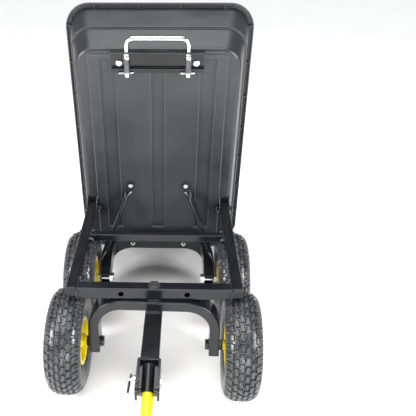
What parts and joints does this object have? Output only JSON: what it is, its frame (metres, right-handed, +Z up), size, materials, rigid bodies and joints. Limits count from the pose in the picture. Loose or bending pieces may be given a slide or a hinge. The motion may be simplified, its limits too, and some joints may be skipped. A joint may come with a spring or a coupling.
{
  "type": "garden dump cart",
  "caption": "Four-wheel garden dump cart, shown tipped: moulded tub with spring latch, hinged tube frame, steering front arch, pneumatic wheels and pull handle.",
  "frame": {"origin": "on the ground, under the middle of the bounding box of the cart as it stands tipped", "axes": "+Z up, -Y toward the pull handle (front of the cart), +X to the right as seen from the handle end looking at the tub"},
  "size_m": [0.538, 1.6647, 0.8444],
  "materials": {
    "black_polyethylene": "satin moulded polyethylene, fine grain",
    "black_powder_coat": "semi-gloss black powder coat",
    "zinc_plate": "bright zinc plate",
    "dark_steel": "dark oxide steel",
    "yellow_enamel": "gloss yellow enamel",
    "tyre_rubber": "dusty black rubber",
    "grip_plastic": "fine textured black plastic",
    "valve_rubber": "smooth black rubber"
  },
  "bodies": {
    "frame": {"left_rail": "black_powder_coat", "right_rail": "black_powder_coat", "rail_caps": "grip_plastic", "front_crossmember": "black_powder_coat", "mid_crossmember": "black_powder_coat", "frame_bolts": "black_powder_coat", "pivot_bushes": "zinc_plate", "king_bolt": "dark_steel", "king_washers": "dark_steel"},
    "tub": {"tub": "black_polyethylene", "latch_bracket": "black_powder_coat", "latch_bracket_bolts": "zinc_plate", "rear_arch": "black_powder_coat", "arch_bolts": "zinc_plate", "left_strut": "black_powder_coat", "right_strut": "black_powder_coat", "strut_bolts": "zinc_plate", "left_pivot_bracket": "black_powder_coat", "right_pivot_bracket": "black_powder_coat", "pivot_bolts": "black_powder_coat", "rear_axle_bolts": "zinc_plate", "rear_axle_nuts": "zinc_plate", "rear_axle_spacers": "yellow_enamel"},
    "latch": {"latch_bar": "zinc_plate", "latch_sleeves": "dark_steel", "latch_springs": "zinc_plate", "latch_clips": "zinc_plate"},
    "front_axle": {"front_arch": "black_powder_coat", "tongue": "black_powder_coat", "clevis": "black_powder_coat", "front_axle_bolts": "black_powder_coat", "front_axle_nuts": "black_powder_coat", "front_axle_spacers": "yellow_enamel"},
    "hitch_pin": {"hitch_pin": "zinc_plate", "hitch_pin_pull": "black_powder_coat", "hitch_clip": "zinc_plate"},
    "handle": {"handle_tube": "yellow_enamel", "handle_socket": "black_powder_coat", "handle_grip": "grip_plastic"},
    "rear_left_wheel": {"rear_left_tyre": "tyre_rubber", "rear_left_rim": "yellow_enamel", "rear_left_hub": "yellow_enamel", "rear_left_rim_bolts": "yellow_enamel", "rear_left_valve": "valve_rubber"},
    "rear_right_wheel": {"rear_right_tyre": "tyre_rubber", "rear_right_rim": "yellow_enamel", "rear_right_hub": "yellow_enamel", "rear_right_rim_bolts": "yellow_enamel", "rear_right_valve": "valve_rubber"},
    "front_left_wheel": {"front_left_tyre": "tyre_rubber", "front_left_rim": "yellow_enamel", "front_left_hub": "yellow_enamel", "front_left_rim_bolts": "yellow_enamel", "front_left_valve": "valve_rubber"},
    "front_right_wheel": {"front_right_tyre": "tyre_rubber", "front_right_rim": "yellow_enamel", "front_right_hub": "yellow_enamel", "front_right_rim_bolts": "yellow_enamel", "front_right_valve": "valve_rubber"}
  },
  "joints": [
    {"name": "tub_tip", "type": "hinge", "parent": "frame", "child": "tub", "pos_m": [0, 0.51129, 0.2895], "axis": [1, 0, 0], "range_deg": [0, 81]},
    {"name": "steering", "type": "hinge", "parent": "frame", "child": "front_axle", "pos_m": [0, 0.09829, 0.2605], "axis": [0, 0, 1], "range_deg": [-1.2, 4]},
    {"name": "latch_pull", "type": "slide", "parent": "tub", "child": "latch", "axis": [0, -0.1564, 0.9877], "range_m": [0, 0.01], "stiffness_N_per_m": 900, "springref_m": -0.006, "deforming": ["latch_springs"]},
    {"name": "handle_swing", "type": "hinge", "parent": "front_axle", "child": "handle", "pos_m": [-0.006, -0.13063, 0.2295], "axis": [-0.9997, 0.0262, 0], "range_deg": [0, 97]},
    {"name": "hitch_pin_turn", "type": "hinge", "parent": "front_axle", "child": "hitch_pin", "pos_m": [-0.006, -0.13063, 0.2295], "axis": [0.9997, -0.0262, 0], "continuous": true},
    {"name": "rear_left_spin", "type": "hinge", "parent": "tub", "child": "rear_left_wheel", "pos_m": [-0.212, 0.3772, 0.1325], "axis": [1, 0, 0], "continuous": true},
    {"name": "rear_right_spin", "type": "hinge", "parent": "tub", "child": "rear_right_wheel", "pos_m": [0.212, 0.3772, 0.1325], "axis": [1, 0, 0], "continuous": true},
    {"name": "front_left_spin", "type": "hinge", "parent": "front_axle", "child": "front_left_wheel", "pos_m": [-0.21193, 0.10384, 0.1325], "axis": [0.9997, -0.0262, 0], "continuous": true},
    {"name": "front_right_spin", "type": "hinge", "parent": "front_axle", "child": "front_right_wheel", "pos_m": [0.21193, 0.09274, 0.1325], "axis": [0.9997, -0.0262, 0], "continuous": true}
  ]
}
